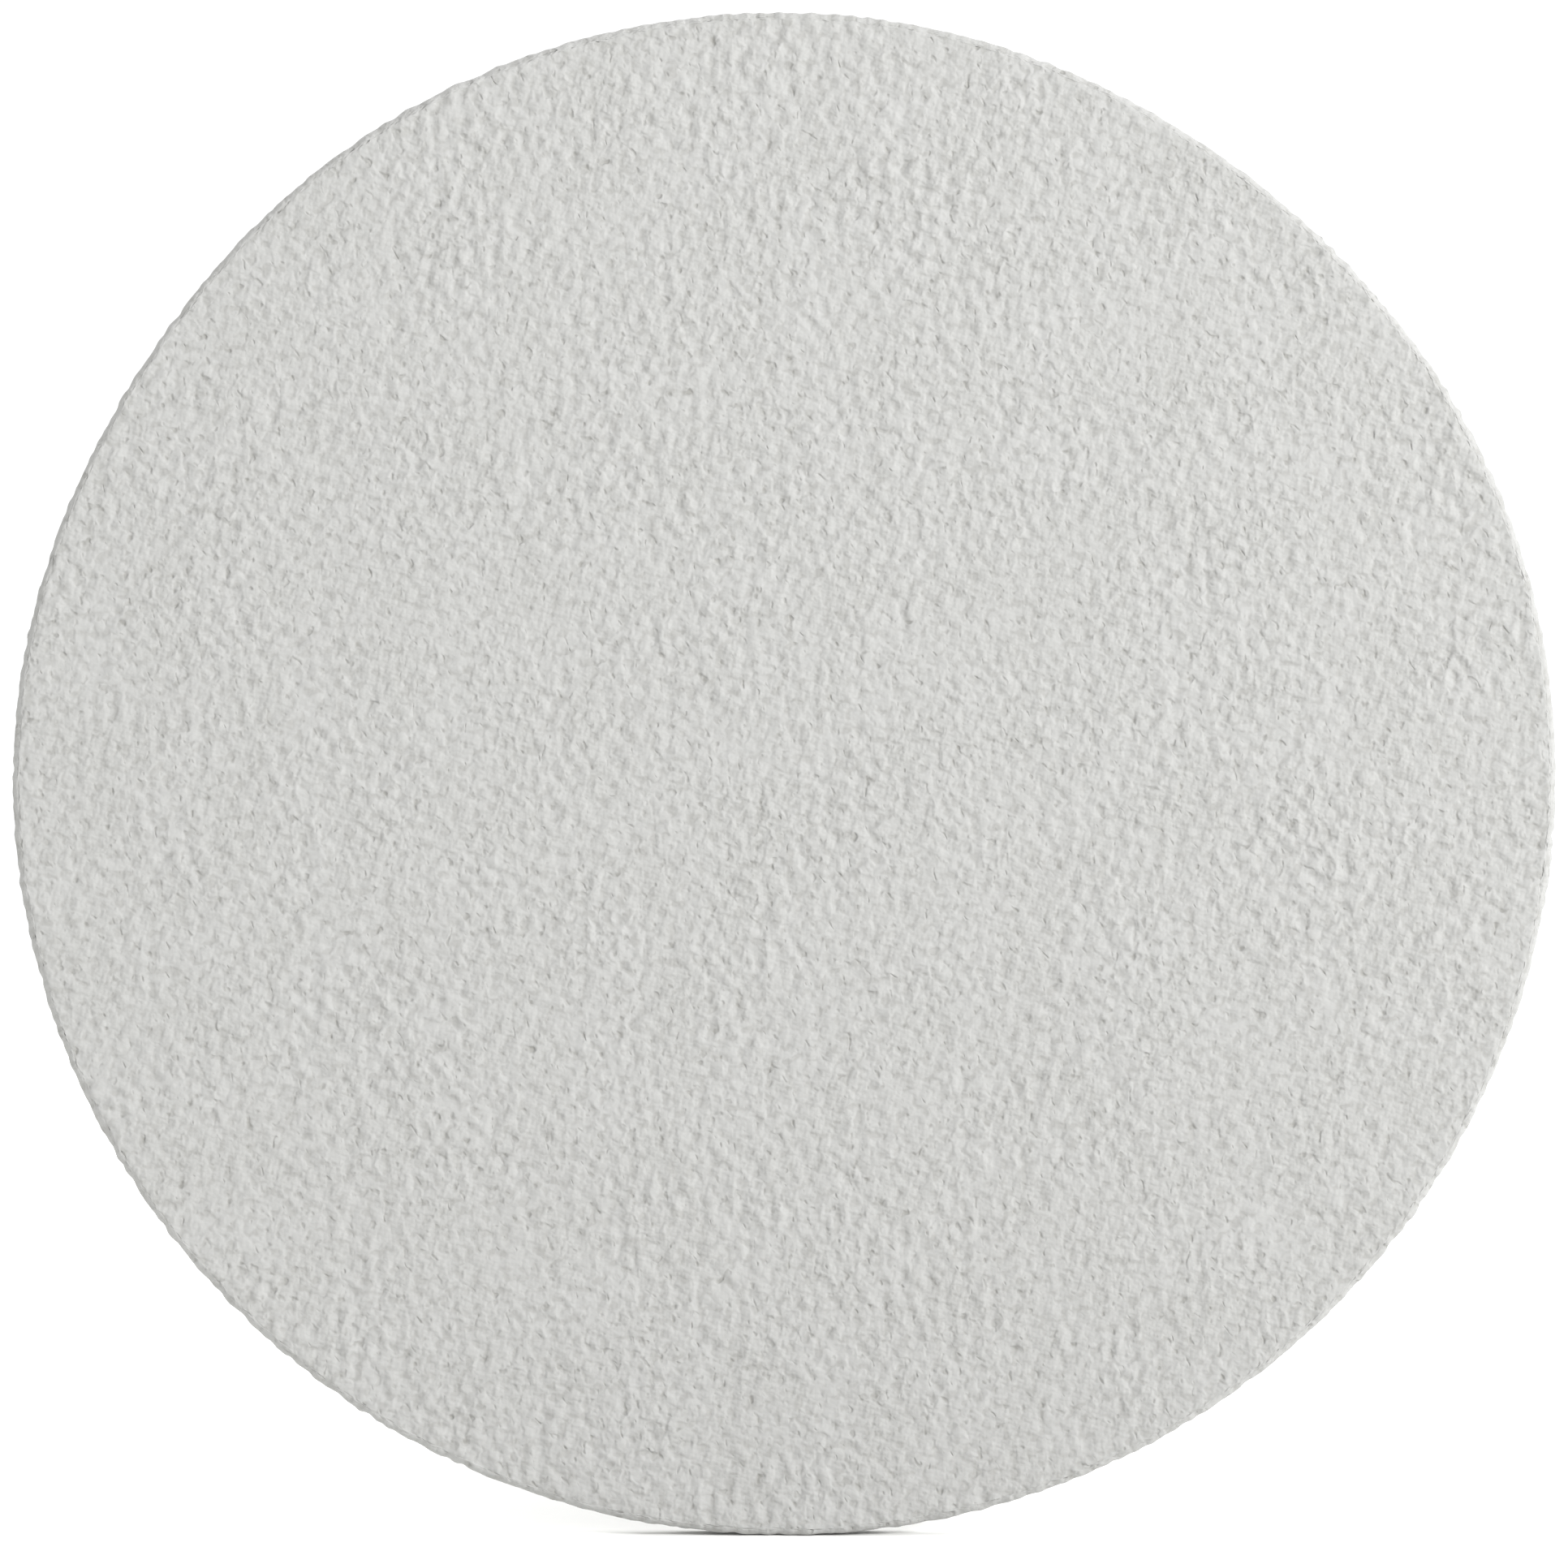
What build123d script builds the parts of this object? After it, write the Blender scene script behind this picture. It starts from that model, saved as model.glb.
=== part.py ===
from build123d import *
import os

# A pop-up backdrop panel: coated cloth drawn tight over a sprung steel hoop, wrapped round the
# rim and hemmed at the back. It stands upright: +Z is up and the painted face looks along -Y.
# The origin is the middle of the whole panel. Depths are Y values, and they grow to the rear.

# Outline. The cloth pulls the hoop a little wider than it is tall.
panel_width = 302.0
panel_height = 298.0

# Cloths and their hem
front_cloth_thickness = 0.9
back_cloth_thickness = 0.5
rim_bend_radius = 1.6
turn_in = 12.0
binding_width = 16.0
binding_thickness = 0.5
binding_inset = 2.5
layer_clearance = 0.15

# Sprung hoop, its cloth casing, and the sleeve that joins the band's two ends
band_width = 4.0
band_thickness = 0.8
band_clearance = 0.15
band_end_gap = 0.4
casing_thickness = 0.4
sleeve_length = 24.0
sleeve_clearance = 0.05
sleeve_end_gap = 0.3
rivet_radius = 0.9
rivet_spacing = 13.0
rivet_clearance = 0.05

# Thread
thread_width = 0.6
thread_height = 0.35
thread_clearance = 0.1
stitch_margin = 2.5

# Fold. The two fold lines stand upright, each this far from the middle of the panel.
fold_line = 50.0

# Hanging tab and its eyelet
tab_width = 20.0
tab_thickness = 2.4
tab_length = 26.0
tab_hinge_inset = 8.5
tab_anchor_length = 5.5
tab_edge_margin = 1.2
tab_fit_clearance = 0.1
anchor_stitch_inset = 2.0
anchor_stitch_height = 3.5
eyelet_bore_radius = 4.0
eyelet_wall = 0.4
eyelet_flange_radius = 7.0
eyelet_flange_thickness = 0.6
eyelet_clearance = 0.4

# Blank label
label_width = 28.0
label_height = 16.0
label_thickness = 0.35
label_x = -20.0
label_gap = 5.0
label_stitch_margin = 1.5

# Depths through the rim, first counted from the front face
casing_depth = band_width + 2 * (band_clearance + casing_thickness)
cavity_depth = casing_depth + 2 * layer_clearance
hem_depth = back_cloth_thickness + front_cloth_thickness + binding_thickness
rim_depth = front_cloth_thickness + cavity_depth + hem_depth
tab_stand_off = eyelet_flange_thickness + eyelet_clearance
total_depth = rim_depth + tab_stand_off + tab_thickness + eyelet_flange_thickness

# The same depths as places, from the front face to the rear of the eyelet
front_face = -total_depth / 2
cavity_front = front_face + front_cloth_thickness
casing_front = cavity_front + layer_clearance
casing_back = casing_front + casing_depth
back_cloth_front = casing_back + layer_clearance
back_cloth_back = back_cloth_front + back_cloth_thickness
turn_in_back = back_cloth_back + front_cloth_thickness
binding_back = turn_in_back + binding_thickness
eyelet_front = binding_back + eyelet_clearance
tab_front = eyelet_front + eyelet_flange_thickness
tab_back = tab_front + tab_thickness
eyelet_back = tab_back + eyelet_flange_thickness

# How far each layer at the rim lies inside the panel's outline
casing_outer = front_cloth_thickness + layer_clearance
band_outer = casing_outer + casing_thickness + band_clearance
band_inner = band_outer + band_thickness
casing_inner = band_inner + band_clearance + casing_thickness
riser_outer = turn_in + layer_clearance
riser_inner = riser_outer + binding_thickness
binding_inner = binding_inset + binding_width
outer_stitch_row = binding_inset + stitch_margin
inner_stitch_row = binding_inner - stitch_margin

# Heights of what is sewn to the back
tab_hinge_height = panel_height / 2 - tab_hinge_inset
tab_straight = tab_length - tab_width / 2
eyelet_height = tab_hinge_height - tab_straight
anchor_height = tab_hinge_height + tab_anchor_length / 2
label_centre_height = binding_inner + label_gap + label_height / 2 - panel_height / 2

# The cloths, the hoop and the hem bend along the fold lines, so each is three nodes.
spans = {
    "left": (-panel_width, -fold_line),
    "middle": (-fold_line, fold_line),
    "right": (fold_line, panel_width),
}


def disc(inset, front, back, mode=Mode.ADD):
    # an oval slab between two depths, its edge lying inside the panel's outline by inset
    with BuildSketch(Plane.XZ.offset(-back)) as outline:
        Ellipse(panel_width / 2 - inset, panel_height / 2 - inset)
    extrude(outline.sketch, amount=back - front, mode=mode)


def ring(outer_inset, inner_inset, front, back, mode=Mode.ADD):
    # an oval ring between two depths
    with BuildSketch(Plane.XZ.offset(-back)) as outline:
        Ellipse(panel_width / 2 - outer_inset, panel_height / 2 - outer_inset)
        Ellipse(panel_width / 2 - inner_inset, panel_height / 2 - inner_inset, mode=Mode.SUBTRACT)
    extrude(outline.sketch, amount=back - front, mode=mode)


def thread_ring(row, level, mode=Mode.ADD, clearance=0):
    # one row of hem stitches, lying on a surface at the depth called level
    reach = thread_width / 2 + clearance
    ring(row - reach, row + reach, level, level + thread_height + clearance, mode=mode)


def keep_span(span):
    # trims the part to what lies between two fold lines
    low, high = span
    with Locations(((low + high) / 2, 0, 0)):
        Box(high - low, 2 * total_depth, 2 * panel_height, mode=Mode.INTERSECT)


def lower_block(width, mode):
    # a block of one width at the foot of the panel, where the hoop's two ends meet
    with Locations((0, 0, -panel_height / 2)):
        Box(width, 2 * total_depth, panel_height, mode=mode)


def rivet_shanks(radius, mode):
    # the two rivets' upright shanks at the foot of the panel
    middle_depth = (casing_front + casing_back) / 2
    places = [(-rivet_spacing / 2, middle_depth), (rivet_spacing / 2, middle_depth)]
    with BuildSketch(Plane.XY.offset(-panel_height)) as circles:
        with Locations(places):
            Circle(radius)
    extrude(circles.sketch, amount=panel_height, mode=mode)


def tab_outline(margin):
    # the hanging tab's face, square at the hinge and round at its free end
    reach = tab_width / 2 - margin
    with Locations((0, tab_hinge_height - tab_straight / 2)):
        Rectangle(2 * reach, tab_straight)
    with Locations((0, eyelet_height)):
        Circle(reach)


def save(piece, name):
    piece.part.label = name
    export_step(piece.part, f"parts/{name}.step")


os.makedirs("parts", exist_ok=True)

for lobe, span in spans.items():
    # Front cloth: the face, the wall round the rim, and the edge turned in behind
    with BuildPart() as front_cloth:
        disc(0, front_face, turn_in_back)
        fillet(front_cloth.faces().filter_by(Axis.Y).edges(), rim_bend_radius)
        disc(front_cloth_thickness, cavity_front, back_cloth_back, mode=Mode.SUBTRACT)
        disc(turn_in, back_cloth_back, turn_in_back, mode=Mode.SUBTRACT)
        keep_span(span)
    save(front_cloth, f"front_cloth_{lobe}")

    # Back cloth: a flat sheet trapped under the turned edge
    with BuildPart() as back_cloth:
        disc(front_cloth_thickness + layer_clearance, back_cloth_front, back_cloth_back)
        keep_span(span)
    save(back_cloth, f"back_cloth_{lobe}")

    # Spring hoop: one flat steel band, its ends butted together at the foot of the panel
    with BuildPart() as spring_hoop:
        band_front = casing_front + casing_thickness + band_clearance
        ring(band_outer, band_inner, band_front, band_front + band_width)
        lower_block(band_end_gap, Mode.SUBTRACT)
        rivet_shanks(rivet_radius + rivet_clearance, Mode.SUBTRACT)
        keep_span(span)
    save(spring_hoop, f"spring_hoop_{lobe}")

    # Hoop casing: the cloth tube that the band runs in, cut away at the joining sleeve
    with BuildPart() as hoop_casing:
        ring(casing_outer, casing_inner, casing_front, casing_back)
        ring(
            casing_outer + casing_thickness,
            casing_inner - casing_thickness,
            casing_front + casing_thickness,
            casing_back - casing_thickness,
            mode=Mode.SUBTRACT,
        )
        lower_block(sleeve_length + 2 * sleeve_end_gap, Mode.SUBTRACT)
        keep_span(span)
    save(hoop_casing, f"hoop_casing_{lobe}")

    # Hem binding: a tape that steps down over the raw edge of the turn-in
    with BuildPart() as hem_binding:
        ring(binding_inset, riser_inner, turn_in_back, binding_back)
        ring(riser_outer, riser_inner, back_cloth_back, binding_back)
        ring(riser_outer, binding_inner, back_cloth_back, back_cloth_back + binding_thickness)
        keep_span(span)
    save(hem_binding, f"hem_binding_{lobe}")

    # Hem stitching: one row through the turn-in and one through the back cloth
    with BuildPart() as hem_stitching:
        thread_ring(outer_stitch_row, binding_back)
        thread_ring(inner_stitch_row, back_cloth_back + binding_thickness)
        keep_span(span)
    save(hem_stitching, f"hem_stitching_{lobe}")

# Hoop sleeve: a crimped metal sleeve over the band's butted ends
with BuildPart() as hoop_sleeve:
    ring(casing_outer, casing_inner, casing_front, casing_back)
    ring(
        band_outer - sleeve_clearance,
        band_inner + sleeve_clearance,
        casing_front + casing_thickness + band_clearance - sleeve_clearance,
        casing_back - casing_thickness - band_clearance + sleeve_clearance,
        mode=Mode.SUBTRACT,
    )
    rivet_shanks(rivet_radius + rivet_clearance, Mode.SUBTRACT)
    lower_block(sleeve_length, Mode.INTERSECT)
save(hoop_sleeve, "hoop_sleeve")

# Hoop rivets: one through each end of the band, dressed flush with the sleeve
with BuildPart() as hoop_rivets:
    ring(casing_outer, casing_inner, casing_front, casing_back)
    rivet_shanks(rivet_radius, Mode.INTERSECT)
save(hoop_rivets, "hoop_rivets")

# Tab anchor: the webbing's turned-under end, sewn on the hem, with room for the hem thread
with BuildPart() as tab_anchor:
    with BuildSketch(Plane.XZ.offset(-tab_back)):
        with Locations((0, anchor_height)):
            Rectangle(tab_width, tab_anchor_length)
    extrude(amount=tab_back - binding_back)
    thread_ring(outer_stitch_row, binding_back, Mode.SUBTRACT, thread_clearance)
save(tab_anchor, "tab_anchor")

# Anchor stitching: a box of thread on the rear of the anchor
with BuildPart() as anchor_stitching:
    with BuildSketch(Plane.XZ.offset(-tab_back - thread_height)):
        box_width = tab_width - 2 * anchor_stitch_inset
        with Locations((0, anchor_height)):
            Rectangle(box_width, anchor_stitch_height)
            Rectangle(
                box_width - 2 * thread_width,
                anchor_stitch_height - 2 * thread_width,
                mode=Mode.SUBTRACT,
            )
    extrude(amount=thread_height)
save(anchor_stitching, "anchor_stitching")

# Hanging tab: the free end of the webbing, which hinges at the anchor's lower edge
with BuildPart() as hanging_tab:
    with BuildSketch(Plane.XZ.offset(-tab_back)):
        tab_outline(0)
        with Locations((0, eyelet_height)):
            Circle(eyelet_bore_radius + eyelet_wall + tab_fit_clearance, mode=Mode.SUBTRACT)
    extrude(amount=tab_thickness)
save(hanging_tab, "hanging_tab")

# Tab edge stitching: one run of thread round the free edge of the tab
with BuildPart() as tab_edge_stitching:
    with BuildSketch(Plane.XZ.offset(-tab_back - thread_height)) as edge_run:
        tab_outline(tab_edge_margin)
        with BuildSketch(mode=Mode.PRIVATE) as inside:
            tab_outline(tab_edge_margin + thread_width)
        add(inside.sketch_local, mode=Mode.SUBTRACT)
    extrude(amount=thread_height)
save(tab_edge_stitching, "tab_edge_stitching")

# Eyelet: the rear flange with its barrel, through the tab and the washer
with BuildPart() as eyelet:
    with BuildSketch(Plane.XZ.offset(-eyelet_back)):
        with Locations((0, eyelet_height)):
            Circle(eyelet_flange_radius)
    extrude(amount=eyelet_flange_thickness)
    with BuildSketch(Plane.XZ.offset(-eyelet_back)):
        with Locations((0, eyelet_height)):
            Circle(eyelet_bore_radius + eyelet_wall)
    extrude(amount=eyelet_back - eyelet_front)
    with BuildSketch(Plane.XZ.offset(-eyelet_back)):
        with Locations((0, eyelet_height)):
            Circle(eyelet_bore_radius)
    extrude(amount=eyelet_back - eyelet_front, mode=Mode.SUBTRACT)
save(eyelet, "eyelet")

# Eyelet washer: the ring that the barrel is clinched through, on the front of the tab
with BuildPart() as eyelet_washer:
    with BuildSketch(Plane.XZ.offset(-tab_front)):
        with Locations((0, eyelet_height)):
            Circle(eyelet_flange_radius)
            Circle(eyelet_bore_radius + eyelet_wall + tab_fit_clearance, mode=Mode.SUBTRACT)
    extrude(amount=eyelet_flange_thickness)
save(eyelet_washer, "eyelet_washer")

# Care label: a small blank woven label on the back cloth, above the foot of the hem
label_back = back_cloth_back + label_thickness
with BuildPart() as care_label:
    with BuildSketch(Plane.XZ.offset(-label_back)):
        with Locations((label_x, label_centre_height)):
            Rectangle(label_width, label_height)
    extrude(amount=label_thickness)
save(care_label, "care_label")

# Label stitching: a run of thread near each end of the label
with BuildPart() as label_stitching:
    with BuildSketch(Plane.XZ.offset(-label_back - thread_height)):
        with Locations((label_x, label_centre_height)):
            with GridLocations(label_width - 2 * label_stitch_margin, 0, 2, 1):
                Rectangle(thread_width, label_height - 2 * label_stitch_margin)
    extrude(amount=thread_height)
save(label_stitching, "label_stitching")
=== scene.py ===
import math

import bpy
import numpy as np
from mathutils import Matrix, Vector, noise


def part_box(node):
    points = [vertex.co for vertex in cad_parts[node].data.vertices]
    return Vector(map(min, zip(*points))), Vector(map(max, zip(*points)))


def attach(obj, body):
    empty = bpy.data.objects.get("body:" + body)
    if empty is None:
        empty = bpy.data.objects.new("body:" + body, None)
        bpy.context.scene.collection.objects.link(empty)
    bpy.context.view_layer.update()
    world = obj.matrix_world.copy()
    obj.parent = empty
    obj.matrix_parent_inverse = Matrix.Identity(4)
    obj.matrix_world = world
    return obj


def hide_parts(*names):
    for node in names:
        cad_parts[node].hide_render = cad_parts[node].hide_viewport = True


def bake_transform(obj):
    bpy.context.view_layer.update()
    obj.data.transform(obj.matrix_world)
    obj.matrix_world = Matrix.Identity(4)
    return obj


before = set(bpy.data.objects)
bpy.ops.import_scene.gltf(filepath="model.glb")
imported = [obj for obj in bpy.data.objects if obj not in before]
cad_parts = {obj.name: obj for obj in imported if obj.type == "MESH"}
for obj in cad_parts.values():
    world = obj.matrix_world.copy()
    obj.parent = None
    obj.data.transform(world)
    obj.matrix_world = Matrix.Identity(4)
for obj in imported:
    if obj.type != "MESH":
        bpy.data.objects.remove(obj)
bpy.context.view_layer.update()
mm = 0.001
hair = 0.001 * mm  # points nearer than this are one point

# Places read from the frame: x runs to the right, y to the rear, z up.
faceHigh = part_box("front_cloth_middle")[1]
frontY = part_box("front_cloth_middle")[0].y
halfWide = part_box("front_cloth_right")[1].x
halfTall = faceHigh.z
foldLine = faceHigh.x
turnInBackY = faceHigh.y
backClothLow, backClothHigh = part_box("back_cloth_middle")
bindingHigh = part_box("hem_binding_middle")[1]
casingLow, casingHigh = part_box("hoop_casing_middle")
bandLow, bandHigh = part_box("spring_hoop_middle")
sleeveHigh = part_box("hoop_sleeve")[1]
anchorLow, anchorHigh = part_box("tab_anchor")
tabLow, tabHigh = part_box("hanging_tab")
eyeletLow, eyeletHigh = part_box("eyelet")
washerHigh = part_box("eyelet_washer")[1]
labelLow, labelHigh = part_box("care_label")
meanRadius = (halfWide + halfTall) / 2  # rings are turned round, then drawn out to the oval
bindingInset = halfTall - bindingHigh.z
bindingThick = bindingHigh.y - turnInBackY
clothThick = turnInBackY - backClothHigh.y

# The hoop is not a true oval: the taut cloth flattens it at its two upper shoulders.
# Each flat is (degrees from the right, share of the radius, degrees of reach).
shoulders = ((52, 0.0118, 23), (148, 0.0108, 20))

# How far either side of a fold line the cloth takes to turn.
fold = {"reach": 12 * mm, "cuts": 16}


def deselectAll():
    bpy.ops.object.select_all(action="DESELECT")


def makeActive(obj):
    deselectAll()
    obj.select_set(True)
    bpy.context.view_layer.objects.active = obj


def startEdit(obj, mode="VERT"):
    makeActive(obj)
    bpy.ops.object.mode_set(mode="EDIT")
    bpy.ops.mesh.select_mode(type=mode)


def stopEdit():
    bpy.ops.object.mode_set(mode="OBJECT")


def pickFaces(obj, wanted):
    # wanted says yes or no to a face; edges and points are let go first
    obj.data.vertices.foreach_set("select", [False] * len(obj.data.vertices))
    obj.data.edges.foreach_set("select", [False] * len(obj.data.edges))
    obj.data.polygons.foreach_set("select", [bool(wanted(face)) for face in obj.data.polygons])


def applyPlace(obj):
    makeActive(obj)
    bpy.ops.object.transform_apply(location=True, rotation=True, scale=True)


def applyModifiers(obj):
    makeActive(obj)
    for modifier in list(obj.modifiers):
        bpy.ops.object.modifier_apply(modifier=modifier.name)


def faceOut(obj):
    startEdit(obj)
    bpy.ops.mesh.select_all(action="SELECT")
    bpy.ops.mesh.normals_make_consistent(inside=False)
    stopEdit()


def smoothUnder(obj, degrees):
    makeActive(obj)
    bpy.ops.object.shade_smooth_by_angle(angle=math.radians(degrees))


def joinAll(objects, name):
    makeActive(objects[0])
    for obj in objects:
        obj.select_set(True)
    if len(objects) > 1:
        bpy.ops.object.join()
    joined = bpy.context.object
    joined.name = joined.data.name = name
    return joined


def copyOf(obj):
    copy = obj.copy()
    copy.data = obj.data.copy()
    bpy.context.collection.objects.link(copy)
    return copy


def readPlaces(obj):
    places = np.empty(len(obj.data.vertices) * 3)
    obj.data.vertices.foreach_get("co", places)
    return places.reshape(-1, 3)


def writePlaces(obj, places):
    obj.data.vertices.foreach_set("co", places.ravel())
    obj.data.update()


def readNormals(obj):
    normals = np.empty(len(obj.data.vertices) * 3, np.float32)
    obj.data.vertex_normals.foreach_get("vector", normals)
    return normals.reshape(-1, 3).astype(float)


def readNumber(obj, name):
    values = np.empty(len(obj.data.vertices), np.float32)
    obj.data.attributes[name].data.foreach_get("value", values)
    return values


def writeNumber(obj, name, values):
    found = obj.data.attributes.get(name) or obj.data.attributes.new(name, "FLOAT", "POINT")
    found.data.foreach_set("value", np.asarray(values, np.float32))


def writeVector(obj, name, values):
    found = obj.data.attributes.get(name) or obj.data.attributes.new(name, "FLOAT_VECTOR", "POINT")
    found.data.foreach_set("vector", np.asarray(values, np.float32).ravel())


def smoothStep(values):
    values = np.clip(values, 0, 1)
    return values * values * (3 - 2 * values)


def drawToOval(places):
    # from the round the pieces are turned on, to the hoop's own outline
    angle = np.degrees(np.arctan2(places[:, 2], places[:, 0]))
    share = np.hypot(places[:, 0], places[:, 2]) / meanRadius
    pull = sum(depth * np.exp(-(((angle - at) / reach) ** 2)) for at, depth, reach in shoulders)
    kept = 1 - share**2 * pull
    places[:, 0] *= kept * halfWide / meanRadius
    places[:, 2] *= kept * halfTall / meanRadius
    return places


def drawChain(name, points):
    # one point, extruded from place to place like a drawn profile
    deselectAll()
    bpy.ops.mesh.primitive_plane_add(size=mm)
    obj = bpy.context.object
    obj.name = obj.data.name = name
    startEdit(obj)
    bpy.ops.mesh.select_all(action="SELECT")
    bpy.ops.mesh.merge(type="CENTER")
    bpy.ops.transform.translate(value=points[0])
    for before, here in zip(points, points[1:]):
        step = [b - a for a, b in zip(before, here)]
        bpy.ops.mesh.extrude_region_move(TRANSFORM_OT_translate={"value": step})
    stopEdit()
    return obj


def closeChain(obj):
    # one more edge, from the chain's last point back to its first
    ends = {0, len(obj.data.vertices) - 1}
    for vertex in obj.data.vertices:
        vertex.select = vertex.index in ends
    startEdit(obj)
    bpy.ops.mesh.edge_face_add()
    stopEdit()


def spinRound(obj, steps, centre, closed):
    # once round the depth axis through centre; the last row is merged with the first
    startEdit(obj)
    bpy.ops.mesh.select_all(action="SELECT")
    bpy.ops.mesh.spin(steps=steps, angle=2 * math.pi, center=centre, axis=(0, 1, 0))
    bpy.ops.mesh.select_all(action="SELECT")
    bpy.ops.mesh.remove_doubles(threshold=hair)
    if closed:
        bpy.ops.mesh.normals_make_consistent(inside=False)
    stopEdit()


def turnRing(name, section, steps, closed=True, values=None):
    # turns a section of (inset from the rim, depth) once round the panel's middle
    points = [(meanRadius - inset, depth, 0) for inset, depth in section]
    obj = drawChain(name, points)
    run = np.cumsum([0] + [math.dist(a, b) for a, b in zip(section, section[1:])]) / mm
    writeNumber(obj, "across", run)
    for title, numbers in (values or {}).items():
        writeNumber(obj, title, numbers)
    if closed:
        closeChain(obj)
    spinRound(obj, steps, (0, 0, 0), closed)
    places = readPlaces(obj)
    fromTop = np.abs(np.arctan2(places[:, 0], places[:, 2]))
    writeNumber(obj, "along", fromTop * meanRadius / mm)
    return obj


def makeHalves(obj, leftName, rightName):
    # cuts a whole piece down the middle of the panel and closes both halves
    halves = []
    for name, keepRight in ((leftName, False), (rightName, True)):
        half = copyOf(obj)
        half.name = half.data.name = name
        startEdit(half)
        bpy.ops.mesh.select_all(action="SELECT")
        bpy.ops.mesh.bisect(
            plane_co=(0, 0, 0),
            plane_no=(1, 0, 0),
            use_fill=True,
            clear_inner=keepRight,
            clear_outer=not keepRight,
            threshold=hair,
        )
        stopEdit()
        halves.append(half)
    bpy.data.objects.remove(obj)
    return halves


def dress(piece, material):
    piece.data.materials.clear()
    piece.data.materials.append(materials[material])


def foldHalves(halves, nodeName):
    # each half's place is baked into its mesh, and the CAD parts it stands for are hidden
    for piece, side, sign in zip(halves, ("left", "right"), (-1, 1)):
        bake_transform(piece)
        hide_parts(nodeName + "_" + side, nodeName + "_middle")


def toLinear(hexText):
    # sRGB hex to the linear colour that a shader wants
    parts = [int(hexText[i : i + 2], 16) / 255 for i in (1, 3, 5)]
    return tuple(c / 12.92 if c <= 0.04045 else ((c + 0.055) / 1.055) ** 2.4 for c in parts) + (1,)


def addNode(tree, kind, settings=None, links=None):
    # a link is a node, for its first output, or a node and the name or number of an output
    node = tree.nodes.new("ShaderNode" + kind)
    for name, value in (settings or {}).items():
        if isinstance(name, int) or name in node.inputs:
            node.inputs[name].default_value = value
        else:
            setattr(node, name, value)
    for name, source in (links or {}).items():
        source, output = source if isinstance(source, tuple) else (source, 0)
        tree.links.new(source.outputs[output], node.inputs[name])
    return node


def newMaterial(name, settings):
    material = bpy.data.materials.new(name)
    material.use_nodes = True
    tree = material.node_tree
    tree.nodes.clear()
    shader = addNode(tree, "BsdfPrincipled", settings)
    addNode(tree, "OutputMaterial", {}, {"Surface": shader})
    return material, tree, shader


def finishTones(tree, shader, look, tone, normal=None):
    # the finish runs from the look's dark to its light by tone, and normal is its relief
    colour = addNode(
        tree,
        "Mix",
        {"data_type": "RGBA", 6: toLinear(look["dark"]), 7: toLinear(look["light"])},
        {0: tone},
    )
    tree.links.new(colour.outputs[2], shader.inputs["Base Color"])
    if normal:
        tree.links.new(normal.outputs[0], shader.inputs["Normal"])


def plainWeave(tree, place, pitches):
    # threads that pass over and under by turns: 0 in the holes, 1 on the crowns; place is in mm
    split = addNode(tree, "SeparateXYZ", {}, {0: place})
    waves = []
    for axis, pitch in zip(("X", "Z"), pitches):
        phase = addNode(
            tree, "Math", {"operation": "MULTIPLY", 1: math.pi / pitch}, {0: (split, axis)}
        )
        waves.append(addNode(tree, "Math", {"operation": "SINE"}, {0: phase}))
    product = addNode(tree, "Math", {"operation": "MULTIPLY"}, {0: waves[0], 1: waves[1]})
    crowns = []
    for wave, half in zip(waves, (0.5, -0.5)):
        over = addNode(tree, "Math", {"operation": "MULTIPLY_ADD", 1: half, 2: 0.5}, {0: product})
        size = addNode(tree, "Math", {"operation": "ABSOLUTE"}, {0: wave})
        crown = addNode(tree, "Math", {"operation": "MULTIPLY"}, {0: size, 1: over})
        crowns.append(crown)
    return addNode(tree, "Math", {"operation": "MAXIMUM"}, {0: crowns[0], 1: crowns[1]})


canvasLook = {
    "threadPitch": (1.10, 1.03),  # mm, warp and weft
    "threadTurn": -15,  # degrees that the cut lies off the cloth's grain
    "weaveDepth": 0.09 * mm,
    "thinSize": 14,  # each size is in mm across
    "grainSize": 0.6,
    "grainDepth": 0.016 * mm,
    "dimpleSize": 1.9,
    "dimpleDepth": 0.56 * mm,
    "patchSize": 20,
    "patchRelief": (0.65, 1.25),  # share of the dimples' depth in smooth and rough patches
    "creaseSize": 2.6,
    "creaseLean": 22,  # degrees
    "creaseStretch": 0.5,
    "creaseWidth": 0.09,
    "creaseDepth": 0.15 * mm,
    "breakSize": 1.9,  # of the breaks that leave a crease short
    "breaks": (0.54, 0.72),
    "coat": ("#a2a2a1", "#9b9b99"),  # thick and thin
    # painted shade: the grey that the creases and the dimples' hollows are darkened towards
    "crease": "#7b7a75",
    "creaseShade": 0.4,
    "hollowShade": 0.26,
    "hollows": (0.34, 0.5),
    "roughness": (0.78, 0.96),
}


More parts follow.
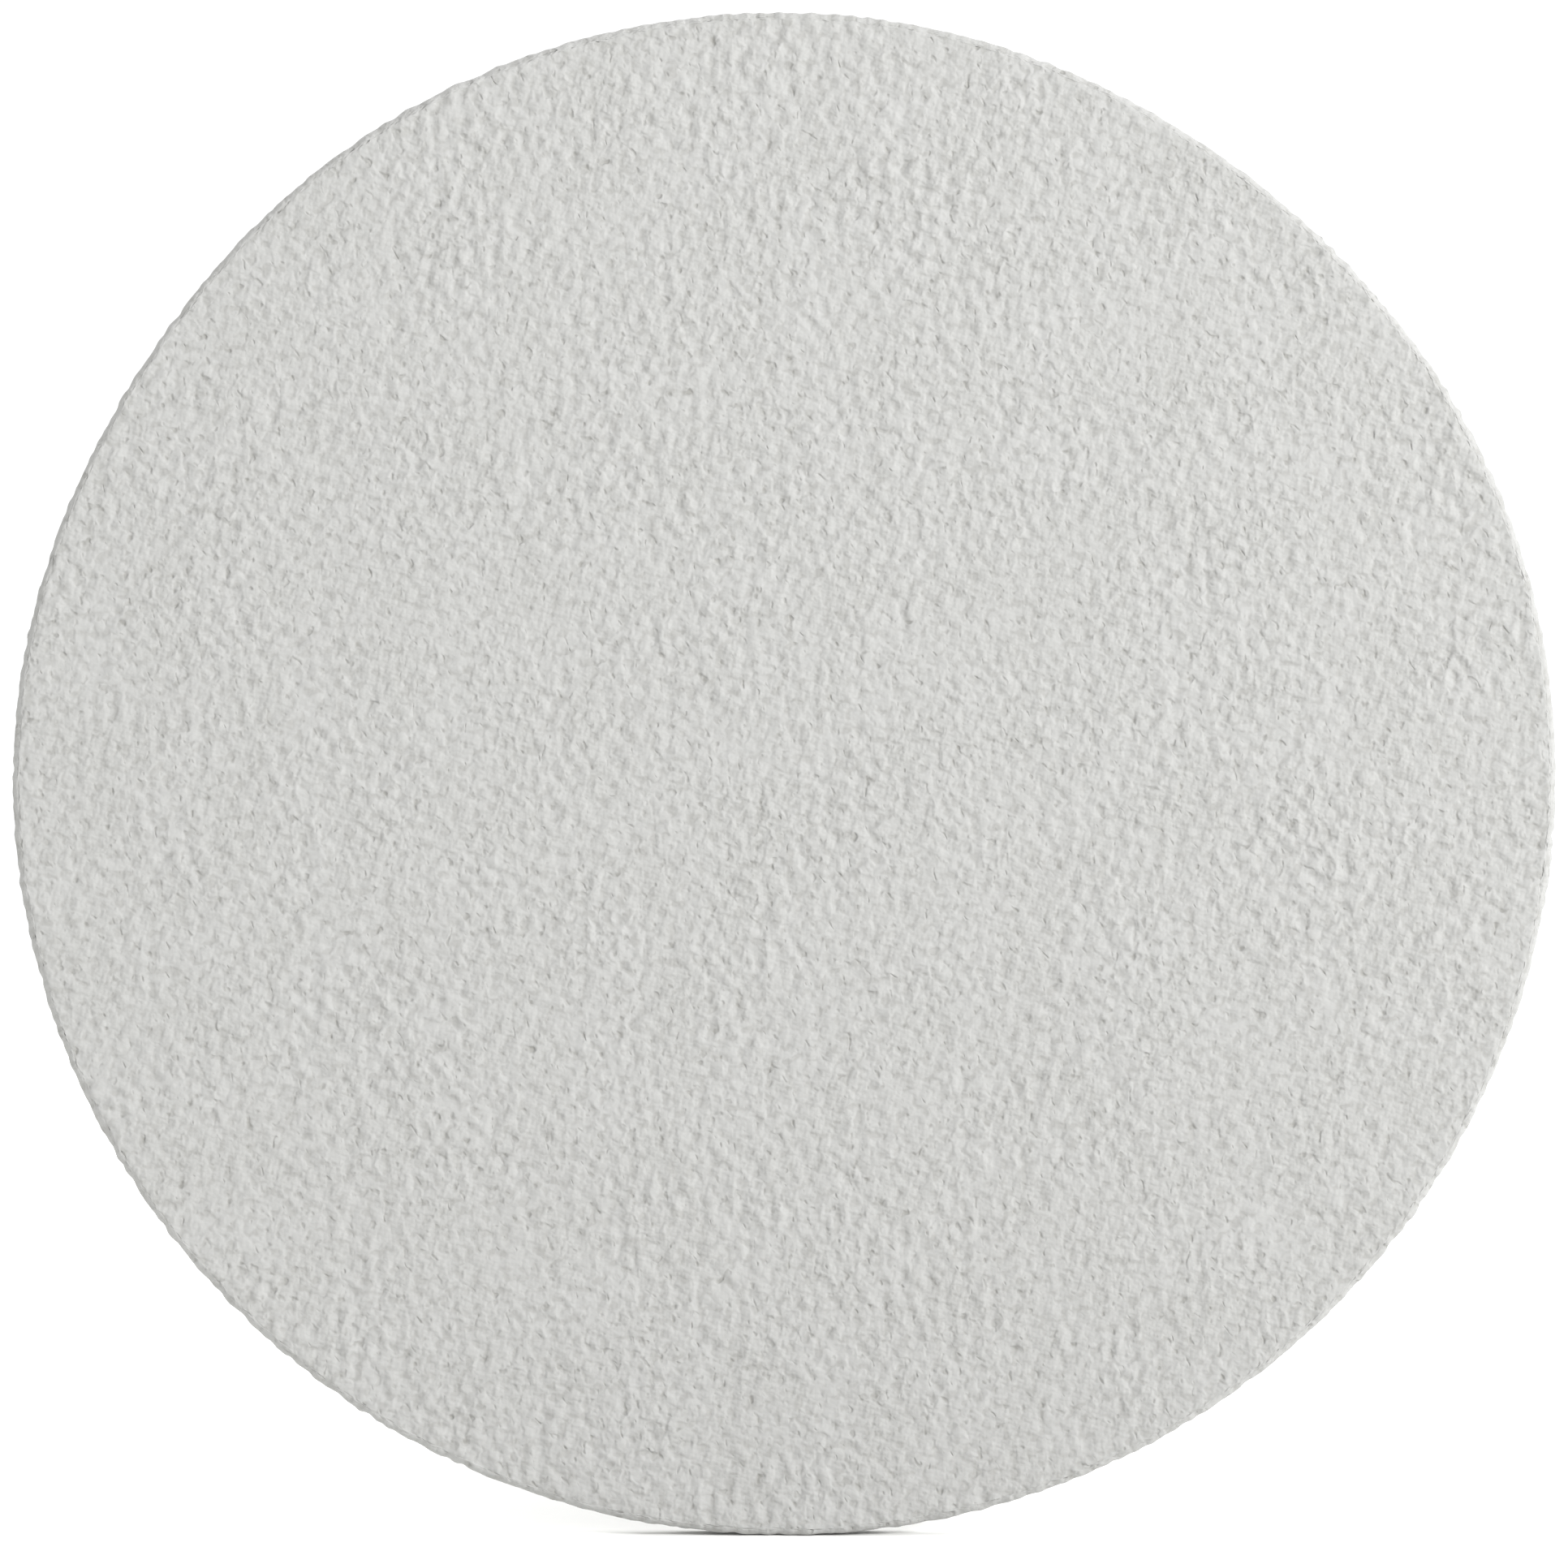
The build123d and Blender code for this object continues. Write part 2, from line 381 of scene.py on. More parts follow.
def paintedCanvas(look):
    # Coarse cotton canvas under a thick rolled coat of matt emulsion. The coat dries in soft
    # pebbles that hide most of the weave and takes no shine; its creases and hollows get painted
    # shade.
    material, tree, shader = newMaterial("paintedCanvas", {"Specular IOR Level": 0.25})
    place = (addNode(tree, "Attribute", {"attribute_name": "clothPlace"}), "Vector")
    turned = addNode(
        tree,
        "VectorRotate",
        {"rotation_type": "Y_AXIS", "Angle": math.radians(look["threadTurn"])},
        {"Vector": place},
    )
    weave = plainWeave(tree, turned, look["threadPitch"])
    thin = addNode(
        tree, "TexNoise", {"Scale": 1 / look["thinSize"], "Detail": 2}, {"Vector": place}
    )
    showing = addNode(tree, "Math", {"operation": "MULTIPLY"}, {0: thin, 1: weave})
    grain = addNode(
        tree,
        "TexNoise",
        {"Scale": 1 / look["grainSize"], "Detail": 3, "Roughness": 0.6},
        {"Vector": place},
    )
    dimples = addNode(
        tree,
        "TexNoise",
        {"Scale": 1 / look["dimpleSize"], "Detail": 1, "Roughness": 0.4, "Distortion": 0.3},
        {"Vector": place},
    )
    # creases are short stretches of a noise's middle line, drawn out along one lean
    leaned = addNode(
        tree,
        "VectorRotate",
        {"rotation_type": "Y_AXIS", "Angle": math.radians(look["creaseLean"])},
        {"Vector": place},
    )
    drawn = addNode(
        tree, "VectorMath", {"operation": "MULTIPLY", 1: (1, 1, look["creaseStretch"])}, {0: leaned}
    )
    bend = addNode(
        tree,
        "TexNoise",
        {"Scale": 1 / look["creaseSize"], "Detail": 0.5, "Distortion": 0.3},
        {"Vector": drawn},
    )
    offMiddle = addNode(tree, "Math", {"operation": "SUBTRACT", 1: 0.5}, {0: bend})
    offMiddle = addNode(tree, "Math", {"operation": "ABSOLUTE"}, {0: offMiddle})
    line = addNode(
        tree,
        "MapRange",
        {
            "interpolation_type": "SMOOTHSTEP",
            "From Max": look["creaseWidth"],
            "To Min": 1,
            "To Max": 0,
        },
        {"Value": offMiddle},
    )
    stretches = addNode(
        tree, "TexNoise", {"Scale": 1 / look["breakSize"], "Detail": 1}, {"Vector": turned}
    )
    low, high = look["breaks"]
    stretches = addNode(
        tree,
        "MapRange",
        {"interpolation_type": "SMOOTHSTEP", "From Min": low, "From Max": high},
        {"Value": stretches},
    )
    crease = addNode(tree, "Math", {"operation": "MULTIPLY"}, {0: line, 1: stretches})
    patches = addNode(
        tree, "TexNoise", {"Scale": 1 / look["patchSize"], "Detail": 1}, {"Vector": place}
    )
    low, high = look["patchRelief"]
    patches = addNode(
        tree,
        "MapRange",
        {"From Min": 0.32, "From Max": 0.68, "To Min": low, "To Max": high},
        {"Value": patches},
    )
    raised = addNode(tree, "Math", {"operation": "MULTIPLY"}, {0: dimples, 1: patches})
    normal = addNode(tree, "Bump", {"Distance": look["dimpleDepth"]}, {"Height": raised})
    normal = addNode(
        tree, "Bump", {"Distance": look["weaveDepth"]}, {"Height": showing, "Normal": normal}
    )
    normal = addNode(
        tree, "Bump", {"Distance": look["grainDepth"]}, {"Height": grain, "Normal": normal}
    )
    normal = addNode(
        tree,
        "Bump",
        {"Distance": look["creaseDepth"], "invert": True},
        {"Height": crease, "Normal": normal},
    )
    coat = addNode(
        tree,
        "Mix",
        {"data_type": "RGBA", 6: toLinear(look["coat"][0]), 7: toLinear(look["coat"][1])},
        {0: thin},
    )
    # painted shade in the dimples' hollows, deeper where they lie lower
    low, high = look["hollows"]
    hollow = addNode(
        tree,
        "MapRange",
        {
            "interpolation_type": "SMOOTHSTEP",
            "From Min": low,
            "From Max": high,
            "To Min": look["hollowShade"],
            "To Max": 0,
        },
        {"Value": dimples},
    )
    # painted shade: creases and hollows are mixed towards the crease grey
    shade = addNode(
        tree, "Math", {"operation": "MULTIPLY_ADD", 1: look["creaseShade"]}, {0: crease, 2: hollow}
    )
    colour = addNode(
        tree, "Mix", {"data_type": "RGBA", 7: toLinear(look["crease"])}, {0: shade, 6: (coat, 2)}
    )
    low, high = look["roughness"]
    dullness = addNode(tree, "MapRange", {"To Min": low, "To Max": high}, {"Value": grain})
    tree.links.new(colour.outputs[2], shader.inputs["Base Color"])
    tree.links.new(dullness.outputs[0], shader.inputs["Roughness"])
    tree.links.new(normal.outputs[0], shader.inputs["Normal"])
    return material


def wovenCloth(name, look):
    # a plain weave that follows the piece's own flat cut, uneven like real yarn
    material, tree, shader = newMaterial(
        name,
        {
            "Roughness": look["roughness"],
            "Sheen Weight": look["sheen"],
            "Specular IOR Level": 0.3,
        },
    )
    place = (addNode(tree, "Attribute", {"attribute_name": "clothPlace"}), "Vector")
    weave = plainWeave(tree, place, (look["pitch"], look["pitch"]))
    cloudSize, slubSize = 26, 2.4  # mm: drifts of the dye, and the yarn's thicker spots
    cloud = addNode(tree, "TexNoise", {"Scale": 1 / cloudSize, "Detail": 4}, {"Vector": place})
    slub = addNode(tree, "TexNoise", {"Scale": 1 / slubSize, "Detail": 3}, {"Vector": place})
    # painted shade: the colour darkens in the weave's holes and is lighter on its crowns; the cloud
    # adds drifts of the dye
    tone = addNode(tree, "Math", {"operation": "MULTIPLY", 1: 0.7}, {0: weave})
    tone = addNode(tree, "Math", {"operation": "MULTIPLY_ADD", 1: 0.3}, {0: cloud, 2: tone})
    normal = addNode(tree, "Bump", {"Distance": 0.05 * mm}, {"Height": slub})
    normal = addNode(tree, "Bump", {"Distance": look["depth"]}, {"Height": weave, "Normal": normal})
    finishTones(tree, shader, look, tone, normal)
    return material


def ribbedTape(name, look):
    # ribs run straight across the tape; along and across are millimetres on it
    material, tree, shader = newMaterial(
        name, {"Roughness": look["roughness"], "Sheen Weight": 0.15}
    )
    waves = []
    for title, pitch in (("along", look["ribPitch"]), ("across", 0.7 * look["ribPitch"])):
        run = addNode(tree, "Attribute", {"attribute_name": title})
        phase = addNode(
            tree, "Math", {"operation": "MULTIPLY", 1: 2 * math.pi / pitch}, {0: (run, "Fac")}
        )
        waves.append(addNode(tree, "Math", {"operation": "SINE"}, {0: phase}))
    ribs = addNode(tree, "Math", {"operation": "MULTIPLY_ADD", 1: 0.3}, {0: waves[1], 2: waves[0]})
    spot = addNode(tree, "TexCoord")
    wear = addNode(
        tree, "TexNoise", {"Scale": 1 / (9 * mm), "Detail": 4}, {"Vector": (spot, "Object")}
    )
    # painted shade: the colour is darker between the ribs and lighter on their crowns, over a
    # random drift of wear
    tone = addNode(tree, "Math", {"operation": "MULTIPLY_ADD", 1: 0.2}, {0: ribs, 2: wear})
    normal = addNode(tree, "Bump", {"Distance": look["ribDepth"]}, {"Height": ribs})
    finishTones(tree, shader, look, tone, normal)
    return material


def twistedThread(name, look):
    # a steep twist of strands with a slight waxy shine
    material, tree, shader = newMaterial(name, {"Roughness": 0.5})
    along = addNode(tree, "Attribute", {"attribute_name": "along"})
    across = addNode(tree, "Attribute", {"attribute_name": "across"})
    twist = addNode(
        tree, "Math", {"operation": "MULTIPLY_ADD", 1: 1.6}, {0: (across, "Fac"), 2: (along, "Fac")}
    )
    phase = addNode(
        tree, "Math", {"operation": "MULTIPLY", 1: 2 * math.pi / look["twist"]}, {0: twist}
    )
    strands = addNode(tree, "Math", {"operation": "SINE"}, {0: phase})
    # painted shade: the colour is darker in the grooves between the strands and lighter on them
    tone = addNode(tree, "Math", {"operation": "MULTIPLY_ADD", 1: 0.4, 2: 0.5}, {0: strands})
    normal = addNode(tree, "Bump", {"Distance": 0.05 * mm}, {"Height": strands})
    finishTones(tree, shader, look, tone, normal)
    return material


def workedMetal(name, look):
    # fine marks left by the tools, drawn out along one way where the metal was drawn
    material, tree, shader = newMaterial(name, {"Metallic": 1.0})
    spot = addNode(tree, "TexCoord")
    stretched = addNode(
        tree, "VectorMath", {"operation": "MULTIPLY", 1: look["stretch"]}, {0: (spot, "Object")}
    )
    marks = addNode(
        tree,
        "TexNoise",
        {"Scale": 1 / (look["markSize"] * mm), "Detail": 5, "Roughness": 0.65},
        {"Vector": stretched},
    )
    finish = addNode(
        tree, "MapRange", {"To Min": look["rough"][0], "To Max": look["rough"][1]}, {"Value": marks}
    )
    normal = addNode(tree, "Bump", {"Distance": look["markDepth"]}, {"Height": marks})
    tree.links.new(finish.outputs[0], shader.inputs["Roughness"])
    finishTones(tree, shader, look, marks, normal)
    return material


# Piece-dyed polyester taffeta: a tight weave, flat and dark, with a faint bloom at the edges.
taffetaLook = {
    "dark": "#1c1d1f", "light": "#404145", "pitch": 0.8, "depth": 0.08 * mm,
    "roughness": 0.8, "sheen": 0.2,
}
# Bleached cotton tape sewn to a tube: soft white, rougher than the cloths round it.
cottonLook = {
    "dark": "#b4b1a7", "light": "#e0ddd4", "pitch": 0.7, "depth": 0.06 * mm,
    "roughness": 0.9, "sheen": 0.1,
}
# Satin-woven polyester: close threads that shine a little.
satinLook = {
    "dark": "#a3a19a", "light": "#c4c2bb", "pitch": 0.5, "depth": 0.03 * mm,
    "roughness": 0.45, "sheen": 0.05,
}
# Polyester grosgrain: strong cross ribs, near black, with painted shade between the ribs that
# leaves their crowns lighter.
grosgrainLook = {
    "dark": "#111113", "light": "#3a3b3f", "ribPitch": 1.5, "ribDepth": 0.12 * mm,
    "roughness": 0.75,
}
# Woven nylon webbing: coarser ribs than the binding, with the glint of filament yarn.
webbingLook = {
    "dark": "#0e0f10", "light": "#34363a", "ribPitch": 1.9, "ribDepth": 0.2 * mm,
    "roughness": 0.55,
}
bondedLook = {"dark": "#3b3c3e", "light": "#77787a", "twist": 0.55}  # bonded polyester, mid grey
whiteLook = {"dark": "#8f8e88", "light": "#cbc9c4", "twist": 0.4}  # the label's white thread
# Blued, cold-rolled spring steel: dark, with drawn lines along the band.
steelLook = {
    "dark": "#39414b", "light": "#596370", "rough": (0.28, 0.45), "stretch": (0.2, 4, 0.2),
    "markSize": 0.8, "markDepth": 0.01 * mm,
}
# Crimped aluminium: soft, dulled and scuffed by the crimping jaws.
crimpedLook = {
    "dark": "#a2a4a6", "light": "#cfd1d2", "rough": (0.35, 0.6), "stretch": (1, 1, 1),
    "markSize": 1.2, "markDepth": 0.03 * mm,
}
# Set aluminium rivets: brighter, worked smooth by the snap.
rivetLook = {
    "dark": "#b6b8ba", "light": "#d2d3d4", "rough": (0.25, 0.4), "stretch": (1, 1, 1),
    "markSize": 0.6, "markDepth": 0.01 * mm,
}
# Nickel plate on pressed brass: warm white, near mirror under a light haze of handling.
nickelLook = {
    "dark": "#bdb8ad", "light": "#dad6cd", "rough": (0.14, 0.32), "stretch": (1, 1, 1),
    "markSize": 1.6, "markDepth": 0.006 * mm,
}

materials = {
    "canvas": paintedCanvas(canvasLook),
    "backing": wovenCloth("polyesterTaffeta", taffetaLook),
    "casing": wovenCloth("cottonTape", cottonLook),
    "label": wovenCloth("satinLabel", satinLook),
    "binding": ribbedTape("grosgrainTape", grosgrainLook),
    "webbing": ribbedTape("nylonWebbing", webbingLook),
    "hemThread": twistedThread("bondedThread", bondedLook),
    "labelThread": twistedThread("whiteThread", whiteLook),
    "springSteel": workedMetal("bluedSpringSteel", steelLook),
    "sleeve": workedMetal("crimpedAluminium", crimpedLook),
    "rivets": workedMetal("setAluminium", rivetLook),
    "eyelet": workedMetal("nickelPlate", nickelLook),
}
print("materials made:", len(materials))


frontCloth = {
    "cells": 392,  # across the face, a multiple of 8
    "bend": 1.6 * mm,  # radius over the rim's two edges
    "bendCells": 4,
    "wallCells": 6,
    "turnIn": 12 * mm,
    "innerRim": 2.5 * mm,
    "rearRing": 2 * mm,  # an uncut ring round the hidden side
    "pebbleSize": 2.2 * mm,
    "pebbleHeight": 1.1 * mm,
    "lumpSize": 5 * mm,
    "lumpHeight": 0.18 * mm,
    "patchSize": 24 * mm,
    "paintShare": 0.72,  # of the full height, between a rough patch and a smooth one
    "patchShare": 0.55,
    "driftSize": 46 * mm,
    "driftHeight": 0.12 * mm,
}


def clothEdgeSection(cloth):
    # from the face round the rim to the raw edge, then back inside to the face's rear
    bend, cells = cloth["bend"], cloth["bendCells"]
    quarter = [math.pi / 2 * step / cells for step in range(cells + 1)]
    section = [(bend * (1 - math.sin(a)), frontY + bend * (1 - math.cos(a))) for a in quarter]
    wallRun = turnInBackY - frontY - 2 * bend
    section += [
        (0, frontY + bend + wallRun * step / cloth["wallCells"])
        for step in range(1, cloth["wallCells"])
    ]
    section += [(bend * (1 - math.cos(a)), turnInBackY - bend * (1 - math.sin(a))) for a in quarter]
    section += [(bend + (cloth["turnIn"] - bend) * share, turnInBackY) for share in (0.2, 0.5, 1)]
    outside = len(section)
    ease = 0.3 * mm
    section += [
        (cloth["turnIn"], backClothHigh.y),
        (clothThick + ease, backClothHigh.y),
        (clothThick, backClothHigh.y - ease),
        (clothThick, frontY + clothThick + ease),
        (clothThick + ease, frontY + clothThick),
        (cloth["innerRim"], frontY + clothThick),
    ]
    return section, outside


def makeFace(cloth):
    # a square grid drawn out to an even disc, so that no part of the face is crowded
    deselectAll()
    bpy.ops.mesh.primitive_grid_add(
        x_subdivisions=cloth["cells"],
        y_subdivisions=cloth["cells"],
        size=2,
        rotation=(math.pi / 2, 0, 0),
    )
    face = bpy.context.object
    applyPlace(face)
    places = readPlaces(face)
    x, z = places[:, 0], places[:, 2]
    wide = np.abs(x) >= np.abs(z)
    reach = np.where(wide, x, z)
    angle = np.where(wide, z, x) / np.where(reach == 0, 1, reach) * math.pi / 4
    reach = reach * (meanRadius - cloth["bend"])
    near, far = reach * np.cos(angle), reach * np.sin(angle)
    places[:, 0] = np.where(wide, near, far)
    places[:, 2] = np.where(wide, far, near)
    places[:, 1] = frontY
    writePlaces(face, places)
    writeNumber(face, "flatRadius", np.hypot(places[:, 0], places[:, 2]) / mm)
    writeNumber(face, "painted", np.ones(len(places)))
    return face


def makeEdge(cloth):
    section, outside = clothEdgeSection(cloth)
    run = (meanRadius - cloth["bend"]) / mm
    flat = [run]
    for index, (before, here) in enumerate(zip(section, section[1:]), 1):
        run += math.dist(before, here) / mm * (1 if index < outside else -1)
        flat.append(run)
    # the paint runs over the rim and stops just past it
    painted = [1.0 if i < outside - 2 else 0.0 for i in range(len(section))]
    painted[outside - 3] = 0.4
    return turnRing(
        "clothEdge",
        section,
        4 * cloth["cells"],
        closed=False,
        values={"flatRadius": flat, "painted": painted},
    )


def makeFaceRear(cloth):
    # the hidden side of the face, cut into strips where it has to fold
    deselectAll()
    bpy.ops.mesh.primitive_circle_add(
        vertices=4 * cloth["cells"],
        radius=meanRadius - cloth["innerRim"],
        fill_type="NGON",
        location=(0, frontY + clothThick, 0),
        rotation=(math.pi / 2, 0, 0),
    )
    rear = bpy.context.object
    applyPlace(rear)
    startEdit(rear, "FACE")
    bpy.ops.mesh.select_all(action="SELECT")
    bpy.ops.mesh.inset(thickness=cloth["rearRing"], use_boundary=True)
    stopEdit()
    limit = meanRadius - cloth["innerRim"] - cloth["rearRing"] + 0.1 * mm
    corners = rear.data.vertices

    def withinRing(face):
        return all(math.hypot(corners[i].co.x, corners[i].co.z) < limit for i in face.vertices)

    reach, cuts = fold["reach"], fold["cuts"]
    lines = [foldLine - reach + 2 * reach * step / cuts for step in range(cuts + 1)]
    for line in [0.0] + lines + [-line for line in lines]:
        pickFaces(rear, withinRing)
        startEdit(rear, "FACE")
        bpy.ops.mesh.bisect(plane_co=(line, 0, 0), plane_no=(1, 0, 0), threshold=hair)
        stopEdit()
    places = readPlaces(rear)
    writeNumber(rear, "flatRadius", np.hypot(places[:, 0], places[:, 2]) / mm)
    writeNumber(rear, "painted", np.zeros(len(places)))
    return rear


def raisePaint(cloth, whole):
    # three displacements: rolled pebbles, softer lumps under them, and a slow drift of the cloth
    # a smoother patch here and there is where the roller left more paint
    group = whole.vertex_groups.new(name="painted")
    painted = readNumber(whole, "painted")
    for index in np.nonzero(painted)[0].tolist():
        patch = noise.noise(whole.data.vertices[index].co / cloth["patchSize"])
        share = min(1, cloth["paintShare"] + cloth["patchShare"] * patch)
        group.add([index], painted[index] * share, "REPLACE")
    for name, size, height in (
        ("pebbles", cloth["pebbleSize"], cloth["pebbleHeight"]),
        ("lumps", cloth["lumpSize"], cloth["lumpHeight"]),
        ("drift", cloth["driftSize"], cloth["driftHeight"]),
    ):
        texture = bpy.data.textures.new(name, "CLOUDS")
        texture.noise_basis = "ORIGINAL_PERLIN"
        texture.noise_scale = size
        texture.noise_depth = 0
        modifier = whole.modifiers.new(name, "DISPLACE")
        modifier.texture = texture
        modifier.texture_coords = "LOCAL"
        modifier.strength = height
        modifier.mid_level = 0.5
        modifier.vertex_group = group.name
    applyModifiers(whole)
    whole.vertex_groups.clear()


def makeFrontCloth(cloth):
    whole = joinAll([makeFace(cloth), makeEdge(cloth), makeFaceRear(cloth)], "frontCloth")
    startEdit(whole)
    bpy.ops.mesh.select_all(action="SELECT")
    bpy.ops.mesh.remove_doubles(threshold=0.01 * mm)
    bpy.ops.mesh.normals_make_consistent(inside=False)
    stopEdit()
    places = readPlaces(whole)
    angle, flat = np.arctan2(places[:, 2], places[:, 0]), readNumber(whole, "flatRadius")
    onCloth = np.stack([np.cos(angle) * flat, 0 * flat, np.sin(angle) * flat], axis=1)
    raisePaint(cloth, whole)
    writeVector(whole, "clothPlace", onCloth)
    writePlaces(whole, drawToOval(readPlaces(whole)))
    makeActive(whole)
    bpy.ops.object.shade_smooth()
    # the whole cloth's normals are kept for both halves, so that no line shows between them
    skin = readNormals(whole)
    skin[readNumber(whole, "painted") == 0] = 0
    writeVector(whole, "skinNormal", skin)
    halves = makeHalves(whole, "frontClothLeft", "frontClothRight")
    for half in halves:
        smoothUnder(half, 50)
        kept = np.empty(len(half.data.vertices) * 3, np.float32)
        half.data.attributes["skinNormal"].data.foreach_get("vector", kept)
        half.data.normals_split_custom_set_from_vertices(kept.reshape(-1, 3).tolist())
        for name in ("skinNormal", "painted", "flatRadius", "along", "across"):
            half.data.attributes.remove(half.data.attributes[name])
        dress(half, "canvas")
    return halves


frontHalves = makeFrontCloth(frontCloth)
print("front cloth made:", [len(half.data.polygons) for half in frontHalves])


hemBinding = {
    "width": 16 * mm,
    "turnIn": frontCloth["turnIn"] + 0.15 * mm,
    "steps": 1200,
    "edgeRound": 0.16 * mm,
    "stitchPitch": 3.0 * mm,
    "stitchLength": 2.5 * mm,
    "stitchWidth": 0.62 * mm,
    "stitchMargin": 2.5 * mm,
    "stitchSink": 0.1 * mm,
    "dimple": 0.14 * mm,
}
bindingInner = bindingInset + hemBinding["width"]
stitchRows = (  # inset from the rim, and the height that the row lies at
    (bindingInset + hemBinding["stitchMargin"], bindingHigh.y),
    (bindingInner - hemBinding["stitchMargin"], backClothHigh.y + bindingThick),
)


def bindingSection(tape):
    # the tape lies on the turned edge, steps down past it and lies on the back cloth
    ease, step = tape["edgeRound"], tape["turnIn"]
    high, low, thick = turnInBackY, backClothHigh.y, bindingThick
    row = stitchRows[0][0]
    section = [(bindingInset, high + ease), (bindingInset + ease, high + thick)]
    section += [(row + share * mm, high + thick) for share in (-1.3, -0.6, 0, 0.6, 1.3, 3.5)]
    section += [(step - 0.4 * mm, high + thick), (step + 0.3 * mm, high + 0.75 * thick)]
    section += [(step + 0.9 * mm, low + 1.3 * thick)]
    row = stitchRows[1][0]
    section += [(row + share * mm, low + thick) for share in (-1.3, -0.6, 0, 0.6, 1.3)]
    section += [(bindingInner - ease, low + thick), (bindingInner, low + ease)]
    section += [(bindingInner - ease, low), (step + 0.8 * mm, low)]
    section += [(step + 0.05 * mm, low + 0.1 * mm), (step, high - 0.05 * mm)]
    section += [(step - 0.4 * mm, high), (bindingInset + ease, high)]
    return section


def makeBinding(tape):
    whole = turnRing("hemBinding", bindingSection(tape), tape["steps"])
    places = readPlaces(whole)
    inset = meanRadius - np.hypot(places[:, 0], places[:, 2])
    turn = np.abs(np.arctan2(places[:, 0], places[:, 2]))
    # each stitch draws the tape down a little where its thread goes in
    for row, level in stitchRows:
        phase = 2 * math.pi * turn * (meanRadius - row) / tape["stitchPitch"]
        near = np.exp(-(((inset - row) / (0.8 * mm)) ** 2)) * (places[:, 1] > level - 0.2 * mm)
        places[:, 1] -= tape["dimple"] * (0.6 + 0.4 * np.cos(phase)) * near
    writePlaces(whole, drawToOval(places))
    halves = makeHalves(whole, "hemBindingLeft", "hemBindingRight")
    for half in halves:
        smoothUnder(half, 35)
        dress(half, "binding")
    return halves


def makeStitch(name, length, width):
    # one lockstitch lying along x at y = 0, its ends narrowed and drawn down into the cloth
    deselectAll()
    bpy.ops.mesh.primitive_cylinder_add(
        vertices=6, radius=width / 2, depth=length * 0.5, rotation=(0, math.pi / 2, 0)
    )
    obj = bpy.context.object
    obj.name = obj.data.name = name
    applyPlace(obj)
    for sign in (-1, 1):
        for reach, size, sink in ((0.15, 0.85, 0.12), (0.1, 0.6, 0.3)):
            pickFaces(obj, lambda face: face.normal.x * sign > 0.9)
            startEdit(obj, "FACE")
            bpy.ops.mesh.extrude_region_move(
                TRANSFORM_OT_translate={"value": (sign * reach * length, -sink * width, 0)}
            )
            bpy.ops.transform.resize(value=(1, size, size))
            stopEdit()
    places = readPlaces(obj)
    writeNumber(obj, "along", places[:, 0] / mm)
    writeNumber(obj, "across", np.arctan2(places[:, 2], places[:, 1]) * width / 2 / mm)
    places[:, 1] *= 0.8  # pressed a little flat by its own tension
    writePlaces(obj, places)
    makeActive(obj)
    bpy.ops.object.shade_smooth()
    return obj


def layStitches(name, pattern, spots, material):
    # a spot is (x, y, z, turn): the stitch lies at y, turned in the plane of the panel
    laid = []
    for x, y, z, turn in spots:
        copy = copyOf(pattern)
        copy.location = (x, y, z)
        copy.rotation_euler = (0, turn, 0)
        laid.append(copy)
    row = joinAll(laid, name)
    applyPlace(row)
    dress(row, material)
    return row


def hemSpots(tape, side):
    # even steps round the hem, from the middle of the top to the middle of the foot
    spots = []
    for row, level in stitchRows:
        radius = meanRadius - row
        count = int(math.pi * radius / tape["stitchPitch"])
        for step in range(count):
            turn = math.pi * (step + 0.5) / count
            flat = np.array([[side * radius * math.sin(turn), level, radius * math.cos(turn)]])
            x, y, z = drawToOval(flat)[0]
            spots.append((x, y - tape["stitchSink"], z, side * turn))
    return spots


bindingHalves = makeBinding(hemBinding)
hemStitch = makeStitch("hemStitch", hemBinding["stitchLength"], hemBinding["stitchWidth"])
stitchHalves = [
    layStitches(name, hemStitch, hemSpots(hemBinding, side), "hemThread")
    for side, name in ((-1, "hemStitchesLeft"), (1, "hemStitchesRight"))
]
bpy.data.objects.remove(hemStitch)
print("hem made:", len(bindingHalves[0].data.polygons), len(stitchHalves[0].data.polygons))


backCloth = {
    "cells": 176,
    "inset": halfTall - backClothHigh.z,
    "puckers": 74,
    "puckerHeight": 0.32 * mm,
    "puckerReach": 30 * mm,
    "puckerStart": (3 * mm, 4 * mm),  # how far under the hem they begin, and the run they rise in
    "wander": (2.3, 5),  # how often, and how far, the puckers stray
    "slack": 0.3 * mm,
    "slackSize": 50 * mm,
    "slackRise": 20 * mm,
    "labelMargin": 1 * mm,
    "labelRise": 5 * mm,
}


